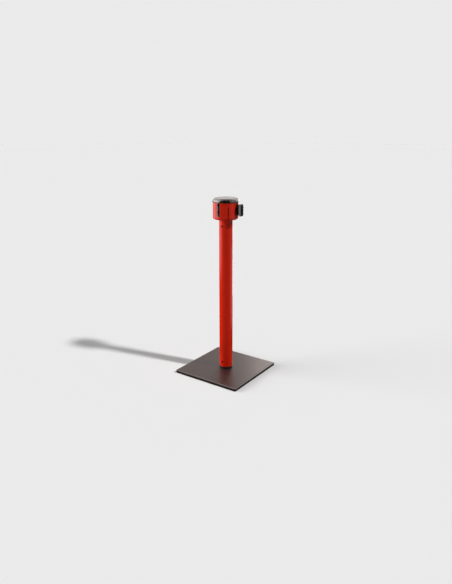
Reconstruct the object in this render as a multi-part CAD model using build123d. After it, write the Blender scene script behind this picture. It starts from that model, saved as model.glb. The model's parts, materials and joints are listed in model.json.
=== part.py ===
from build123d import *
import math
import os

# Barrier post with a belt that pulls out of its head and winds back by a spring.
# Millimetres, +Z up, the floor at z = 0 and the tube's axis on the Z axis.
# The belt leaves the head along +X. Receivers for other belts face -Y, +Y and -X.

# Clearances
press_gap = 0.05
seat_gap = 0.1
run_gap = 0.2
soft_gap = 0.3

# Base
pad_t = 3.0
pad_inset = 1.5
pad_hole_r = 44.0
plate_side = 420.0
plate_t = 14.0
plate_corner_r = 5.0
plate_edge_r = 3.0
foot_ring_h = 11.5
foot_ring_proud = 0.5

# Tube, with the spigot in its foot and the plug in its head
tube_r = 38.05
tube_wall = 2.0
tube_len = 866.5
spigot_engage = 55.0
spigot_floor_t = 14.0
spigot_wall = 11.0
plug_engage = 56.0
plug_top_t = 12.0
plug_wall = 10.0
foot_screw_up = 30.5
head_screw_down = 37.0

# Fasteners
base_screw_r = 4.0
base_screw_head_r = 8.0
base_screw_bite = 11.0
base_screw_pcd = 46.0
base_screw_count = 4
set_screw_r = 5.0
set_screw_len = 12.0
set_screw_sunk = 1.6
casing_screw_r = 2.5
casing_screw_head_r = 4.5
casing_screw_head_t = 3.0
casing_screw_bite = 9.0
casing_screw_pcd = 46.0
casing_screw_count = 4
cassette_screw_r = 2.0
cassette_screw_head_r = 3.6
cassette_screw_head_t = 2.2
cassette_screw_count = 4
cover_screw_r = 1.25
cover_screw_head_r = 2.3
cover_screw_head_t = 1.6
cover_screw_bite = 7.0
cover_screw_count = 3
cover_screw_turn = 30.0
cap_screw_r = 3.0
cap_screw_head_r = 6.0
cap_screw_len = 20.0
cap_dimple = 0.8
hex_share = 0.55

# Casing of the head
casing_wall = 3.0
casing_floor_t = 4.0
casing_edge_r = 11.0
groove_w = 4.2
groove_deep = 1.8
groove_top_gap = 24.0

# Cap
cap_proud = 0.6
cap_bead_w = 3.0
cap_bead_h = 2.6
cap_bead_round = 0.8
cap_h = 21.0
cap_edge_r = 18.0
cap_rim_t = 10.0
cap_wall = 4.0
cap_hollow_r = 8.0
cap_boss_r = 11.0
cap_boss_h = 6.0
cap_lip_h = 4.0
cap_lip_t = 2.6
notch_w = 5.2
notch_deep = 9.0
notch_h = 16.0

# Belt
belt_w = 48.0
belt_t = 0.8
belt_len = 2300.0

# Reel, spindle and mainspring
hub_r = 32.0
hub_wall = 5.0
reel_margin = 4.9
reel_flange_t = 3.0
belt_play = 1.5
washer_t = 1.0
bush_wall = 4.0
bush_collar_t = 1.0
bush_collar_w = 2.0
boss_h = 2.3
boss_wall = 4.0
spindle_r = 6.0
spindle_head_r = 11.0
spindle_head_t = 4.0
ring_w = 3.4
ring_t = 1.0
ring_sink = 0.9
ring_mouth = 7.0
spring_t = 0.6
spring_turns = 8
spring_w = 42.0
spring_room = 1.2

# Cassette base that carries the spindle
cassette_h = 18.0
cassette_top_t = 3.0
cassette_r = 46.0
cassette_wall = 2.6
cassette_foot_w = 9.0
cassette_foot_t = 3.0
head_room = 10.5

# Receivers let into the casing
slot_w = 18.2
sill_gap = 4.0
reel_room = 13.88
back_t = 2.5
cavity_deep = 7.5
lip_t = 2.5
wing_w = 4.0
mouth_w = 7.0
cavity_end = 3.0

# Clip on the end of the belt
clip_w = 23.4
clip_end = 8.0
clip_stand_off = 18.0
clip_deep = 15.5
clip_round = 1.6
tail_t = 4.6
tail_end = 3.0
park_gap = 0.3
neck_w = 6.0
lug_w = 12.0
lug_t = 2.4
lug_h = 8.0
lug_from_end = 10.25
lug_play = 0.5
lug_drop = 8.2
clip_pin_r = 2.2
clip_pin_inset = 7.0
clip_screw_r = 1.5
clip_screw_head_r = 2.9
clip_screw_head_t = 1.8

# Exit guide
guide_pin_r = 3.0
guide_pin_inset = 13.4
guide_plate_t = 5.0
guide_ear_t = 4.0
guide_ear_deep = 10.0
belt_slot_play = 1.4

# Levels, from the floor up
plate_z0 = pad_t
plate_z1 = plate_z0 + plate_t
tube_z0 = plate_z1 + foot_ring_h
tube_z1 = tube_z0 + tube_len
casing_z0 = tube_z1
floor_z = casing_z0 + casing_floor_t
cassette_z1 = floor_z + cassette_h
bush_z0 = cassette_z1 + washer_t + run_gap
boss_z0 = bush_z0 + bush_collar_t
reel_z0 = boss_z0 + boss_h
hub_z0 = reel_z0 + reel_flange_t
belt_z0 = hub_z0 + belt_play
belt_z1 = belt_z0 + belt_w
hub_z1 = belt_z1 + belt_play
reel_z1 = hub_z1 + reel_flange_t
casing_z1 = reel_z1 + head_room
cap_z1 = casing_z1 + cap_h
spindle_z1 = cap_z1 - cap_wall - cap_boss_h
clip_z0 = belt_z0 - clip_end
clip_z1 = belt_z1 + clip_end
sill_z = clip_z0 - sill_gap

# Radii, from the reel outwards
bore_r = tube_r - tube_wall
insert_r = bore_r - press_gap
bush_r = spindle_r + press_gap + bush_wall
roll_r = math.sqrt(hub_r ** 2 + belt_len * belt_t / math.pi)
reel_r = roll_r + reel_margin
cavity_r0 = reel_r + reel_room + back_t
casing_r = cavity_r0 + cavity_deep + lip_t
casing_in_r = casing_r - casing_wall
wing_x = casing_in_r * math.cos(math.asin((slot_w / 2 + wing_w) / casing_in_r)) - seat_gap
casing_round = min(casing_edge_r, casing_r - tube_r - 1)
lip_r = casing_in_r - seat_gap
cap_r = casing_r + cap_proud
bead_r = cap_r + cap_bead_w
cap_round = min(cap_edge_r, cap_h - cap_bead_h - 0.2)

# Places of the clip, along +X from the tube's axis
tail_x0 = casing_r + park_gap
clip_x0 = casing_r + clip_stand_off
clip_x1 = clip_x0 + clip_deep
neck_len = lip_t + lug_play
lug_x0 = clip_x1 + neck_len
lug_x1 = lug_x0 + lug_t
clip_pin_x = clip_x0 + clip_pin_inset
lug_levels = [clip_z0 + lug_from_end, clip_z1 - lug_from_end - lug_h]
cavity_w = lug_w + 2 * lug_play

# Way of the belt from the roll over the guide pin and out
guide_pin_x = casing_r - guide_pin_inset
roll_line_r = roll_r + soft_gap + belt_t / 2
pin_line_r = guide_pin_r + soft_gap + belt_t / 2
pin_far = math.hypot(guide_pin_x, pin_line_r)
lead_turn = math.asin((roll_line_r + pin_line_r) / pin_far) - math.atan2(pin_line_r, guide_pin_x)


def column(radius, z0, z1, x=0.0, y=0.0):
    """Upright cylinder between two levels."""
    return Pos(x, y, (z0 + z1) / 2) * Cylinder(radius, z1 - z0)


def tube(r_out, r_in, z0, z1, x=0.0, y=0.0):
    """Upright tube between two levels."""
    return column(r_out, z0, z1, x, y) - column(r_in, z0, z1, x, y)


def block(x0, x1, y0, y1, z0, z1):
    """Box between two corners."""
    centre = Pos((x0 + x1) / 2, (y0 + y1) / 2, (z0 + z1) / 2)
    return centre * Box(x1 - x0, y1 - y0, z1 - z0)


def slab(x0, x1, half_w, z0, z1):
    """Box that lies evenly about the XZ plane."""
    return block(x0, x1, -half_w, half_w, z0, z1)


def turned(points):
    """Solid of revolution about Z from (radius, level) points."""
    outline = Polyline(*[(r, 0, z) for r, z in points], close=True)
    return revolve(make_face(outline), Axis.Z)


def around(count, radius, start=0.0):
    """Evenly spaced places on a circle about the Z axis."""
    step = 360 / count
    return [Rot(0, 0, start + step * i) * Pos(radius, 0, 0) for i in range(count)]


def hexagon(r, z0, z1):
    """Six-sided socket for a key, as a cutter."""
    return Pos(0, 0, z0) * extrude(RegularPolygon(r, 6), z1 - z0)


def many(solids):
    """Group of separate solids in one node."""
    return Compound(children=list(solids))


def sunk_screw(r, head_r, length):
    """Countersunk screw, head face at z = 0, shank down."""
    head_h = head_r - r
    body = turned([(0, 0), (head_r, 0), (r, -head_h), (r, -length), (0, -length)])
    return body - hexagon(head_r * hex_share, -head_h * 0.8, 1)


def sunk_hole(r, head_r, length):
    """Cutter for a countersunk screw's hole."""
    wide = head_r + press_gap
    narrow = r + press_gap
    return turned([(0, 1), (wide, 1), (wide, 0), (narrow, narrow - wide), (narrow, -length), (0, -length)])


def head_screw(r, head_r, head_t, length):
    """Screw with a round head that stands on z = 0, shank down."""
    body = column(head_r, 0, head_t) + column(r, -length, 0)
    body = chamfer(body.edges().group_by(Axis.Z)[-1], head_t * 0.2)
    return body - hexagon(head_r * hex_share, head_t * 0.4, head_t + 1)


# Base

def base_pad():
    """Rubber sheet under the plate, open in its middle for the base screws."""
    side = plate_side - 2 * pad_inset
    sheet = block(-side / 2, side / 2, -side / 2, side / 2, 0, pad_t)
    sheet = fillet(sheet.edges().filter_by(Axis.Z), max(plate_corner_r - pad_inset, 1))
    return sheet - column(pad_hole_r, 0, pad_t)


def base_screw_places():
    """Screws through the plate into the spigot, on the diagonals."""
    return around(base_screw_count, base_screw_pcd / 2, 45)


def base_plate():
    """Square steel plate with rounded corners and a rounded top edge."""
    half = plate_side / 2
    plate = block(-half, half, -half, half, plate_z0, plate_z1)
    plate = fillet(plate.edges().filter_by(Axis.Z), plate_corner_r)
    plate = fillet(plate.edges().group_by(Axis.Z)[-1], plate_edge_r)
    plate = chamfer(plate.edges().group_by(Axis.Z)[0], plate_edge_r / 4)
    hole = Pos(0, 0, plate_z0) * Rot(180, 0, 0) * sunk_hole(base_screw_r, base_screw_head_r, plate_t + 1)
    for place in base_screw_places():
        plate -= place * hole
    return plate


def base_screws():
    """Countersunk screws, put in from under the plate."""
    screw = sunk_screw(base_screw_r, base_screw_head_r, plate_t + base_screw_bite)
    screw = Pos(0, 0, plate_z0) * Rot(180, 0, 0) * screw
    return many(place * screw for place in base_screw_places())


def base_spigot():
    """Steel cup that stands on the plate inside the tube's foot."""
    top = tube_z0 + spigot_engage
    cup = column(insert_r, plate_z1, top)
    cup = chamfer(cup.edges().group_by(Axis.Z)[-1], 1.5)
    cup -= column(insert_r - spigot_wall, plate_z1 + spigot_floor_t, top)
    for place in base_screw_places():
        cup -= place * column(base_screw_r + press_gap, plate_z1, plate_z1 + base_screw_bite + 0.5)
    return cup - set_screw_hole(tube_z0 + foot_screw_up, insert_r - spigot_wall - 1)


def foot_ring():
    """Black ring that the tube stands on."""
    ring = column(tube_r + foot_ring_proud, plate_z1, tube_z0)
    ring = fillet(ring.edges().group_by(Axis.Z)[-1], foot_ring_proud)
    return ring - column(bore_r, plate_z1, tube_z0)


# Tube and its screws

def set_screw_hole(level, reach):
    """Cutter for a set screw that comes in from -Y, down to a radius."""
    hole = column(set_screw_r + press_gap, reach, tube_r + 1)
    return Pos(0, 0, level) * Rot(90, 0, 0) * hole


def post_tube():
    """Straight steel tube with a hole for a set screw near each end."""
    pipe = tube(tube_r, bore_r, tube_z0, tube_z1)
    for level in (tube_z0 + foot_screw_up, tube_z1 - head_screw_down):
        pipe -= set_screw_hole(level, bore_r - 3)
    return pipe


def set_screws():
    """Grub screws that clamp the tube to the spigot and to the plug."""
    outer = tube_r - set_screw_sunk
    screw = column(set_screw_r, outer - set_screw_len, outer)
    screw = chamfer(screw.edges().filter_by(GeomType.CIRCLE), 0.5)
    screw -= hexagon(set_screw_r * hex_share, outer - set_screw_r, outer + 1)
    screw = Rot(90, 0, 0) * screw
    return many(Pos(0, 0, level) * screw for level in (tube_z0 + foot_screw_up, tube_z1 - head_screw_down))


def casing_screw_places():
    """Screws through the casing's floor into the plug."""
    return around(casing_screw_count, casing_screw_pcd / 2, 45)


def head_plug():
    """Cast plug in the top of the tube, which carries the head."""
    low = tube_z1 - plug_engage
    plug = column(insert_r, low, tube_z1)
    plug = chamfer(plug.edges().group_by(Axis.Z)[0], 1.5)
    plug -= column(insert_r - plug_wall, low, tube_z1 - plug_top_t)
    for place in casing_screw_places():
        plug -= place * column(casing_screw_r + press_gap, tube_z1 - casing_screw_bite - 0.5, tube_z1)
    return plug - set_screw_hole(tube_z1 - head_screw_down, insert_r - plug_wall - 1)


# Head casing and cap

def cut_out(half_w):
    """Cutter for one opening in the casing's wall, facing +X."""
    return slab(casing_in_r - casing_wall, casing_r + 1, half_w, sill_z, casing_z1 + 1)


def casing_shape(inset):
    """Outer form of the casing, set in by a distance."""
    form = column(casing_r - inset, casing_z0 + inset, casing_z1)
    return fillet(form.edges().group_by(Axis.Z)[0], casing_round - inset)


def casing():
    """Round shell of the head, open at the top, with four openings and four grooves."""
    inside = column(casing_in_r, floor_z, casing_z1)
    inside = fillet(inside.edges().group_by(Axis.Z)[0], casing_round - casing_wall)
    shell = casing_shape(0) - inside
    groove = slab(0, casing_r + 1, groove_w / 2, casing_z0 - 1, casing_z1 - groove_top_gap)
    groove -= casing_shape(groove_deep)
    groove -= column(casing_r - casing_round, casing_z0 - 1, casing_z0 + groove_deep)
    for turn in range(4):
        shell -= Rot(0, 0, 90 * turn) * cut_out(slot_w / 2)
        shell -= Rot(0, 0, 90 * turn + 45) * groove
    for place in casing_screw_places():
        shell -= place * column(casing_screw_r + press_gap, casing_z0, floor_z)
    for place in cassette_screw_places():
        shell -= place * column(cassette_screw_r + press_gap, casing_z0 + 1, floor_z)
    return shell


def casing_screws():
    """Cap screws that hold the casing on the plug."""
    length = casing_floor_t + casing_screw_bite
    screw = head_screw(casing_screw_r, casing_screw_head_r, casing_screw_head_t, length)
    return many(place * Pos(0, 0, floor_z) * screw for place in casing_screw_places())


def cap():
    """Turned metal cap with a rounded edge, a bead at its foot, four notches and a hollow underside."""
    outer = column(cap_r, casing_z1, cap_z1)
    outer = fillet(outer.edges().group_by(Axis.Z)[-1], cap_round)
    bead = column(bead_r, casing_z1, casing_z1 + cap_bead_h)
    outer += fillet(bead.edges().filter_by(GeomType.CIRCLE), cap_bead_round)
    under = cap_z1 - cap_wall
    hollow = column(cap_r - cap_rim_t, casing_z1, under)
    outer -= fillet(hollow.edges().group_by(Axis.Z)[-1], cap_hollow_r)
    outer += column(cap_boss_r, spindle_z1, under)
    outer += cap_lip()
    notch = slab(bead_r - notch_deep, bead_r + 1, notch_w / 2, casing_z1 - 1, casing_z1 + notch_h)
    for turn in range(4):
        outer -= Rot(0, 0, 45 + 90 * turn) * notch
    outer -= Pos(0, 0, cap_z1 - cap_dimple) * sunk_hole(cap_screw_r, cap_screw_head_r, cap_screw_len)
    return outer


def cap_lip():
    """Four short walls under the rim that centre the cap in the casing."""
    wall = tube(lip_r, lip_r - cap_lip_t, casing_z1 - cap_lip_h, casing_z1)
    half = slot_w / 2 + wing_w + 1
    wall -= block(-cap_r, cap_r, -half, half, casing_z1 - cap_lip_h, casing_z1)
    wall -= block(-half, half, -cap_r, cap_r, casing_z1 - cap_lip_h, casing_z1)
    return wall


def cap_screw():
    """Countersunk screw in the middle of the cap."""
    return Pos(0, 0, cap_z1 - cap_dimple) * sunk_screw(cap_screw_r, cap_screw_head_r, cap_screw_len)


# Receivers and exit guide

def insert_body(back_x, top_z):
    """Black insert that fills one opening of the casing, facing +X."""
    front = slab(wing_x - 1, casing_r + 1, slot_w / 2 - seat_gap, sill_z + seat_gap, top_z)
    front &= column(casing_r, sill_z, top_z)
    return front + slab(back_x, wing_x, slot_w / 2 + wing_w, sill_z + seat_gap, top_z)


def receiver():
    """Insert with a T-shaped slot that takes the clip of another belt."""
    body = insert_body(cavity_r0 - back_t, casing_z1)
    low = sill_z + cavity_end
    high = casing_z1 - cavity_end
    body -= slab(cavity_r0, casing_r - lip_t, cavity_w / 2, low, high)
    body -= slab(cavity_r0, casing_r + 1, mouth_w / 2, low, high)
    for level in lug_levels:
        base = level + lug_drop - lug_play
        body -= slab(cavity_r0, casing_r + 1, cavity_w / 2, base, base + lug_h + 2 * lug_play)
    return body


def exit_guide():
    """Insert with a flared slot for the belt and two ears that hold the guide pin."""
    plate_x = wing_x - guide_plate_t
    body = insert_body(plate_x, casing_z1)
    low_ear = sill_z + seat_gap + guide_ear_t
    high_ear = belt_z1 + tail_end
    ear_x = plate_x - guide_ear_deep
    ear_half = slot_w / 2 + wing_w
    body += slab(ear_x, plate_x, ear_half, sill_z + seat_gap, low_ear)
    body += slab(ear_x, plate_x, ear_half, high_ear, high_ear + guide_ear_t)
    half = belt_t / 2 + belt_slot_play
    slot_z0 = belt_z0 - belt_play
    slot_z1 = belt_z1 + belt_play
    body -= slab(plate_x - 1, casing_r + 1, half, slot_z0, slot_z1)
    deep = casing_r - 3
    mouth = casing_r + 1
    flare = Polyline((deep, half), (mouth, half + 2), (mouth, -half - 2), (deep, -half), close=True)
    body -= Pos(0, 0, slot_z0) * extrude(make_face(flare), slot_z1 - slot_z0)
    hole_top = high_ear + guide_ear_t
    hole = column(guide_pin_r + press_gap, low_ear - guide_ear_t / 2, hole_top, guide_pin_x, -pin_line_r)
    return body - hole


def guide_pin():
    """Polished steel pin that the belt turns over on its way out."""
    low = sill_z + seat_gap + guide_ear_t / 2
    high = belt_z1 + tail_end + guide_ear_t
    return column(guide_pin_r, low, high, guide_pin_x, -pin_line_r)


# Cassette: base, spindle, reel and mainspring

def cassette_screw_places():
    """Screws through the cassette's foot into the casing's floor."""
    return around(cassette_screw_count, cassette_r + cassette_foot_w / 2)


def cassette_base():
    """Moulded drum on the casing's floor that carries the spindle."""
    wall_in = cassette_r - cassette_wall
    base = column(cassette_r, floor_z, cassette_z1)
    base = fillet(base.edges().group_by(Axis.Z)[-1], 1.5)
    base += column(cassette_r + cassette_foot_w, floor_z, floor_z + cassette_foot_t)
    base -= column(wall_in, floor_z, cassette_z1 - cassette_top_t)
    base -= column(spindle_r + press_gap, floor_z, cassette_z1)
    for place in cassette_screw_places():
        base -= place * column(cassette_screw_r + press_gap, floor_z, floor_z + cassette_foot_t)
    return base


def cassette_screws():
    """Screws in the cassette's foot."""
    length = cassette_foot_t + casing_floor_t - 1.5
    screw = head_screw(cassette_screw_r, cassette_screw_head_r, cassette_screw_head_t, length)
    screw = Pos(0, 0, floor_z + cassette_foot_t) * screw
    return many(place * screw for place in cassette_screw_places())


def spindle():
    """Fixed steel axle with a head below, a slot for the spring and a groove for its ring."""
    seat = cassette_z1 - cassette_top_t
    axle = column(spindle_r, seat, spindle_z1) + column(spindle_head_r, seat - spindle_head_t, seat)
    axle -= ring_groove()
    axle -= column(cap_screw_r + press_gap, spindle_z1 - cap_screw_len, spindle_z1)
    axle -= block(-1, spindle_r + 1, -spring_t, spring_t, spring_z0() - 1, spring_z0() + spring_w + 1)
    return axle


def ring_level():
    """Level of the retaining ring, just above the upper bush."""
    return reel_z1 + bush_collar_t + run_gap


def ring_groove():
    """Cutter for the groove that the retaining ring sits in."""
    low = ring_level()
    return tube(spindle_r + 1, spindle_r - ring_sink, low - press_gap, low + ring_t + press_gap)


def retaining_ring():
    """Open ring on the spindle that keeps the reel down."""
    low = ring_level()
    inner = spindle_r - ring_sink + press_gap
    ring = tube(inner + ring_w, inner, low, low + ring_t)
    return ring - slab(0, spindle_r + ring_w + 2, ring_mouth / 2, low, low + ring_t)


def thrust_washer():
    """Steel washer between the cassette base and the lower bush."""
    return tube(bush_r + bush_collar_w, spindle_r + press_gap, cassette_z1, cassette_z1 + washer_t)


def lower_bush():
    """Bronze bush pressed into the reel from below."""
    bush = tube(bush_r, spindle_r + press_gap, bush_z0, hub_z0)
    return bush + tube(bush_r + bush_collar_w, spindle_r + press_gap, bush_z0, boss_z0)


def upper_bush():
    """Bronze bush pressed into the reel's top flange from above."""
    bush = tube(bush_r, spindle_r + press_gap, hub_z1, reel_z1 + bush_collar_t)
    return bush + tube(bush_r + bush_collar_w, spindle_r + press_gap, reel_z1, reel_z1 + bush_collar_t)


def cover_screw_places():
    """Screws through the reel's top flange into the hub's wall."""
    return around(cover_screw_count, hub_r - hub_wall / 2, cover_screw_turn)


def reel():
    """Hub and lower flange in one moulding, with a boss round the bush."""
    body = column(reel_r, reel_z0, hub_z0)
    body = fillet(body.edges().filter_by(GeomType.CIRCLE), reel_flange_t / 4)
    body += tube(hub_r, hub_r - hub_wall, hub_z0, hub_z1)
    body += column(bush_r + boss_wall, boss_z0, reel_z0)
    body -= column(bush_r, boss_z0, hub_z0)
    for place in cover_screw_places():
        body -= place * column(cover_screw_r + press_gap, hub_z1 - cover_screw_bite, hub_z1)
    hub_in = hub_r - hub_wall
    return body - block(hub_in - 1, hub_in + hub_wall / 2, -spring_t, spring_t, hub_z0, hub_z1)


def reel_flange():
    """Top flange of the reel, which closes the spring's room."""
    disc = column(reel_r, hub_z1, reel_z1)
    disc = fillet(disc.edges().filter_by(GeomType.CIRCLE), reel_flange_t / 4)
    disc -= column(bush_r, hub_z1, reel_z1)
    for place in cover_screw_places():
        disc -= place * column(cover_screw_r + press_gap, hub_z1, reel_z1)
    return disc


def flange_screws():
    """Small screws that hold the top flange on the hub."""
    length = reel_flange_t + cover_screw_bite - 0.5
    screw = head_screw(cover_screw_r, cover_screw_head_r, cover_screw_head_t, length)
    return many(place * Pos(0, 0, reel_z1) * screw for place in cover_screw_places())


def spring_z0():
    """Lower edge of the mainspring's strip."""
    return (hub_z0 + hub_z1 - spring_w) / 2


def spiral_edge(radius, pitch, half_turns):
    """Half circles that follow each other outwards, as points and middles of arcs."""
    arcs = []
    start = radius
    side = 1
    for _ in range(half_turns):
        end = -(start + side * pitch / 2)
        middle = (start + end) / 2
        rise = side * abs(start - end) / 2
        arcs.append(ThreePointArc((start, 0), (middle, rise), (end, 0)))
        start = end
        side = -side
    return arcs, start


def mainspring():
    """Flat spiral spring between the spindle and the hub, drawn with few turns."""
    first = spindle_r + spring_room
    last = hub_r - hub_wall - spring_room
    pitch = (last - first - spring_t) / spring_turns
    inner, inner_end = spiral_edge(first, pitch, 2 * spring_turns)
    outer, outer_end = spiral_edge(first + spring_t, pitch, 2 * spring_turns)
    rim = inner + outer
    rim.append(Line((first, 0), (first + spring_t, 0)))
    rim.append(Line((inner_end, 0), (outer_end, 0)))
    strip = extrude(make_face(Curve() + rim), spring_w)
    half = spring_t / 2
    strip += slab(spindle_r / 3, first + half, half, 0, spring_w)
    strip += slab(inner_end + half, inner_end + spring_room + hub_wall / 3, half, 0, spring_w)
    return Pos(0, 0, spring_z0()) * strip


# Belt

def belt_roll():
    """Belt wound on the hub, as one closed ring."""
    return tube(roll_r, hub_r + press_gap, belt_z0, belt_z1)


def belt_lead():
    """Stretch of belt from the roll to the guide pin and round it."""
    cosine = math.cos(lead_turn)
    sine = math.sin(lead_turn)
    leave = (roll_line_r * sine, -roll_line_r * cosine)
    reach = (guide_pin_x - pin_line_r * sine, pin_line_r * (cosine - 1))
    half_turn = lead_turn / 2
    crest = (guide_pin_x - pin_line_r * math.sin(half_turn), pin_line_r * (math.cos(half_turn) - 1))
    run = Line(leave, reach)
    bend = ThreePointArc(reach, crest, (guide_pin_x, 0))
    return Pos(0, 0, belt_z0) * extrude(strip_face(run, bend), belt_w)


def strip_face(run, bend):
    """Thin face of the belt's thickness along a line and an arc."""
    across = belt_t / 2
    start = run @ 0
    joint = run @ 1
    normal = (run % 0).rotate(Axis.Z, 90)
    side = normal * across
    straight = make_face(Polyline(start + side, joint + side, joint - side, start - side, close=True))
    centre = (guide_pin_x, -pin_line_r)
    ring = Pos(*centre) * (Circle(pin_line_r + across) - Circle(pin_line_r - across))
    far = 4 * pin_line_r
    outwards = (joint - Vector(*centre)).normalized() * far
    beside = (centre[0] + outwards.X, centre[1] + outwards.Y)
    above = (centre[0], centre[1] + far)
    wedge = make_face(Polyline(centre, beside, above, close=True))
    return straight + (ring & wedge)


def belt_run():
    """Straight stretch of belt out through the guide, with the loop round the clip's pin."""
    inner = clip_pin_r + press_gap
    outer = inner + belt_t
    strip = slab(guide_pin_x, clip_pin_x - inner - belt_t / 2, belt_t / 2, belt_z0, belt_z1)
    return strip + tube(outer, inner, belt_z0, belt_z1, clip_pin_x)


# Clip on the belt's end

def clip_body():
    """Moulded clip: tail, grip block, neck and two lugs."""
    half = clip_w / 2
    grip = slab(clip_x0, clip_x1, half, clip_z0, clip_z1)
    grip = fillet(grip.edges().filter_by(Axis.Z), clip_round)
    grip = fillet(grip.edges().group_by(Axis.Z)[0] + grip.edges().group_by(Axis.Z)[-1], clip_round / 2)
    tail = slab(tail_x0, clip_x0 + 1, tail_t / 2, belt_z0 - tail_end, belt_z1 + tail_end)
    neck = slab(clip_x1 - 1, lug_x1, neck_w / 2, lug_levels[0], lug_levels[1] + lug_h)
    body = grip + tail + neck
    for level in lug_levels:
        lug = slab(lug_x0, lug_x1, lug_w / 2, level, level + lug_h)
        body += chamfer(lug.faces().sort_by(Axis.X)[-1].edges(), 0.6)
    play = seat_gap
    chamber_r = clip_pin_r + belt_t + soft_gap
    body -= column(chamber_r, clip_z0, belt_z1 + 2 * play, clip_pin_x)
    body -= slab(tail_x0, clip_pin_x, belt_t / 2 + play, clip_z0, belt_z1 + play)
    level = clip_screw_level()
    bore = Pos(clip_pin_x, 0, level) * Rot(90, 0, 0) * clip_screw_cutter()
    return body - bore


def clip_screw_level():
    """Level of the screw under the belt's loop."""
    return (clip_z0 + belt_z0) / 2


def clip_screw_cutter():
    """Cutter for the screw across the clip, with a sunk seat for its head."""
    half = clip_w / 2
    shank = column(clip_screw_r + press_gap, -half / 2, half + 1)
    return shank + column(clip_screw_head_r + press_gap, half - clip_screw_head_t, half + 1)


def clip_screw():
    """Small screw across the clip that keeps the pin and the loop in."""
    half = clip_w / 2
    length = half - clip_screw_head_t + half / 2 - 0.5
    screw = head_screw(clip_screw_r, clip_screw_head_r, clip_screw_head_t, length)
    screw = Pos(0, 0, half - clip_screw_head_t) * screw
    return Pos(clip_pin_x, 0, clip_screw_level()) * Rot(90, 0, 0) * screw


def clip_pin():
    """Steel pin inside the loop at the belt's end."""
    return column(clip_pin_r, belt_z0, belt_z1, clip_pin_x)


nodes = {
    "base_pad": base_pad(),
    "base_plate": base_plate(),
    "base_screws": base_screws(),
    "base_spigot": base_spigot(),
    "foot_ring": foot_ring(),
    "post_tube": post_tube(),
    "set_screws": set_screws(),
    "head_plug": head_plug(),
    "head_casing": casing(),
    "casing_screws": casing_screws(),
    "exit_guide": exit_guide(),
    "guide_pin": guide_pin(),
    "cassette_base": cassette_base(),
    "cassette_screws": cassette_screws(),
    "spindle": spindle(),
    "retaining_ring": retaining_ring(),
    "thrust_washer": thrust_washer(),
    "lower_bush": lower_bush(),
    "upper_bush": upper_bush(),
    "reel": reel(),
    "reel_flange": reel_flange(),
    "flange_screws": flange_screws(),
    "mainspring": mainspring(),
    "belt_roll": belt_roll(),
    "belt_lead": belt_lead(),
    "belt_run": belt_run(),
    "clip_body": clip_body(),
    "clip_pin": clip_pin(),
    "clip_screw": clip_screw(),
    "top_cap": cap(),
    "cap_screw": cap_screw(),
}
for side, turn in (("front", -90), ("back", 90), ("left", 180)):
    nodes[f"receiver_{side}"] = Rot(0, 0, turn) * receiver()

os.makedirs("parts", exist_ok=True)
for name, shape in nodes.items():
    export_step(shape, f"parts/{name}.step")
print(f"height {cap_z1:.1f}, casing radius {casing_r:.2f}, casing {casing_z0:.1f} to {casing_z1:.1f}")
print(f"clip x {tail_x0:.1f} {clip_x0:.1f} {clip_x1:.1f} {lug_x1:.1f}, z {clip_z0:.2f} to {clip_z1:.2f}")
print(f"belt z {belt_z0:.1f} to {belt_z1:.1f}, roll radius {roll_r:.2f}")
print(f"sill {sill_z:.2f}, cavity radius {cavity_r0:.2f}, wing {wing_x:.2f}, pin {guide_pin_x:.2f}")
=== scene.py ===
import json
import logging
import math
from dataclasses import dataclass
from enum import Enum
from functools import cache
from typing import Callable, Iterable, Optional, Sequence

import bmesh
import bpy
from mathutils import Matrix, Vector


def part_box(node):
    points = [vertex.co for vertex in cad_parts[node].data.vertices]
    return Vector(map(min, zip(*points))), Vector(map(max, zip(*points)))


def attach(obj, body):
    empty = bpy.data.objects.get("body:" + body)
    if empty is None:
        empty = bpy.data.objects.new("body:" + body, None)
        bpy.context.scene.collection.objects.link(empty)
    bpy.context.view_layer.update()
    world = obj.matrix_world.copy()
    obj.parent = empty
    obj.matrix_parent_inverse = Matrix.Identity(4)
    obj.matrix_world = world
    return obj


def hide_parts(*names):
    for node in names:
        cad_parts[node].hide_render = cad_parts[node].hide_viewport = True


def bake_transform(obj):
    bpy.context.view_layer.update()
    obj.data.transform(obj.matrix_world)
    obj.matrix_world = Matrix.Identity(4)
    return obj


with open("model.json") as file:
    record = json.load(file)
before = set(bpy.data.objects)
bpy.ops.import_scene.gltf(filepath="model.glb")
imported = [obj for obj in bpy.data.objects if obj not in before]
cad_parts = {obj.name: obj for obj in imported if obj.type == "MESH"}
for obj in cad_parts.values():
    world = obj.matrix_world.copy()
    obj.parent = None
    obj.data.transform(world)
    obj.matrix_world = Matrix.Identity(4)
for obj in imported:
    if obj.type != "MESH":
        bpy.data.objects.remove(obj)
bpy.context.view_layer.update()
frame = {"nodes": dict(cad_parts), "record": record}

log = logging.getLogger("barrier_post")
Colour = tuple[float, float, float]
Point = tuple[float, float, float]

MM = 0.001
# How far a cutter reaches past what it cuts, and how far a piece reaches into one that it joins
SPARE = 1 * MM
# Points closer than this count as one place
TOUCH = 1e-6
# A point this close to a ring lies on it
ON_RING = 1e-5
# Play of a place that a rounding or a cut has moved a little
NEAR = 0.02 * MM

# Names of the face attributes that the finishes read: the first marks faces darkened as painted shade, the second
# marks edge faces lightened as a painted highlight
PAINTED_SHADE = "painted_shade"
PAINTED_EDGE_HIGHLIGHT = "painted_edge_highlight"


class Body(Enum):
    """The rigid bodies that pieces ride on."""

    POST = "post"
    REEL = "reel"
    BELT_END = "belt_end"


class Side(Enum):
    """The three receivers, each with its quarter turn about Z from +X."""

    FRONT = -90
    BACK = 90
    LEFT = 180


# Node trees


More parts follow.
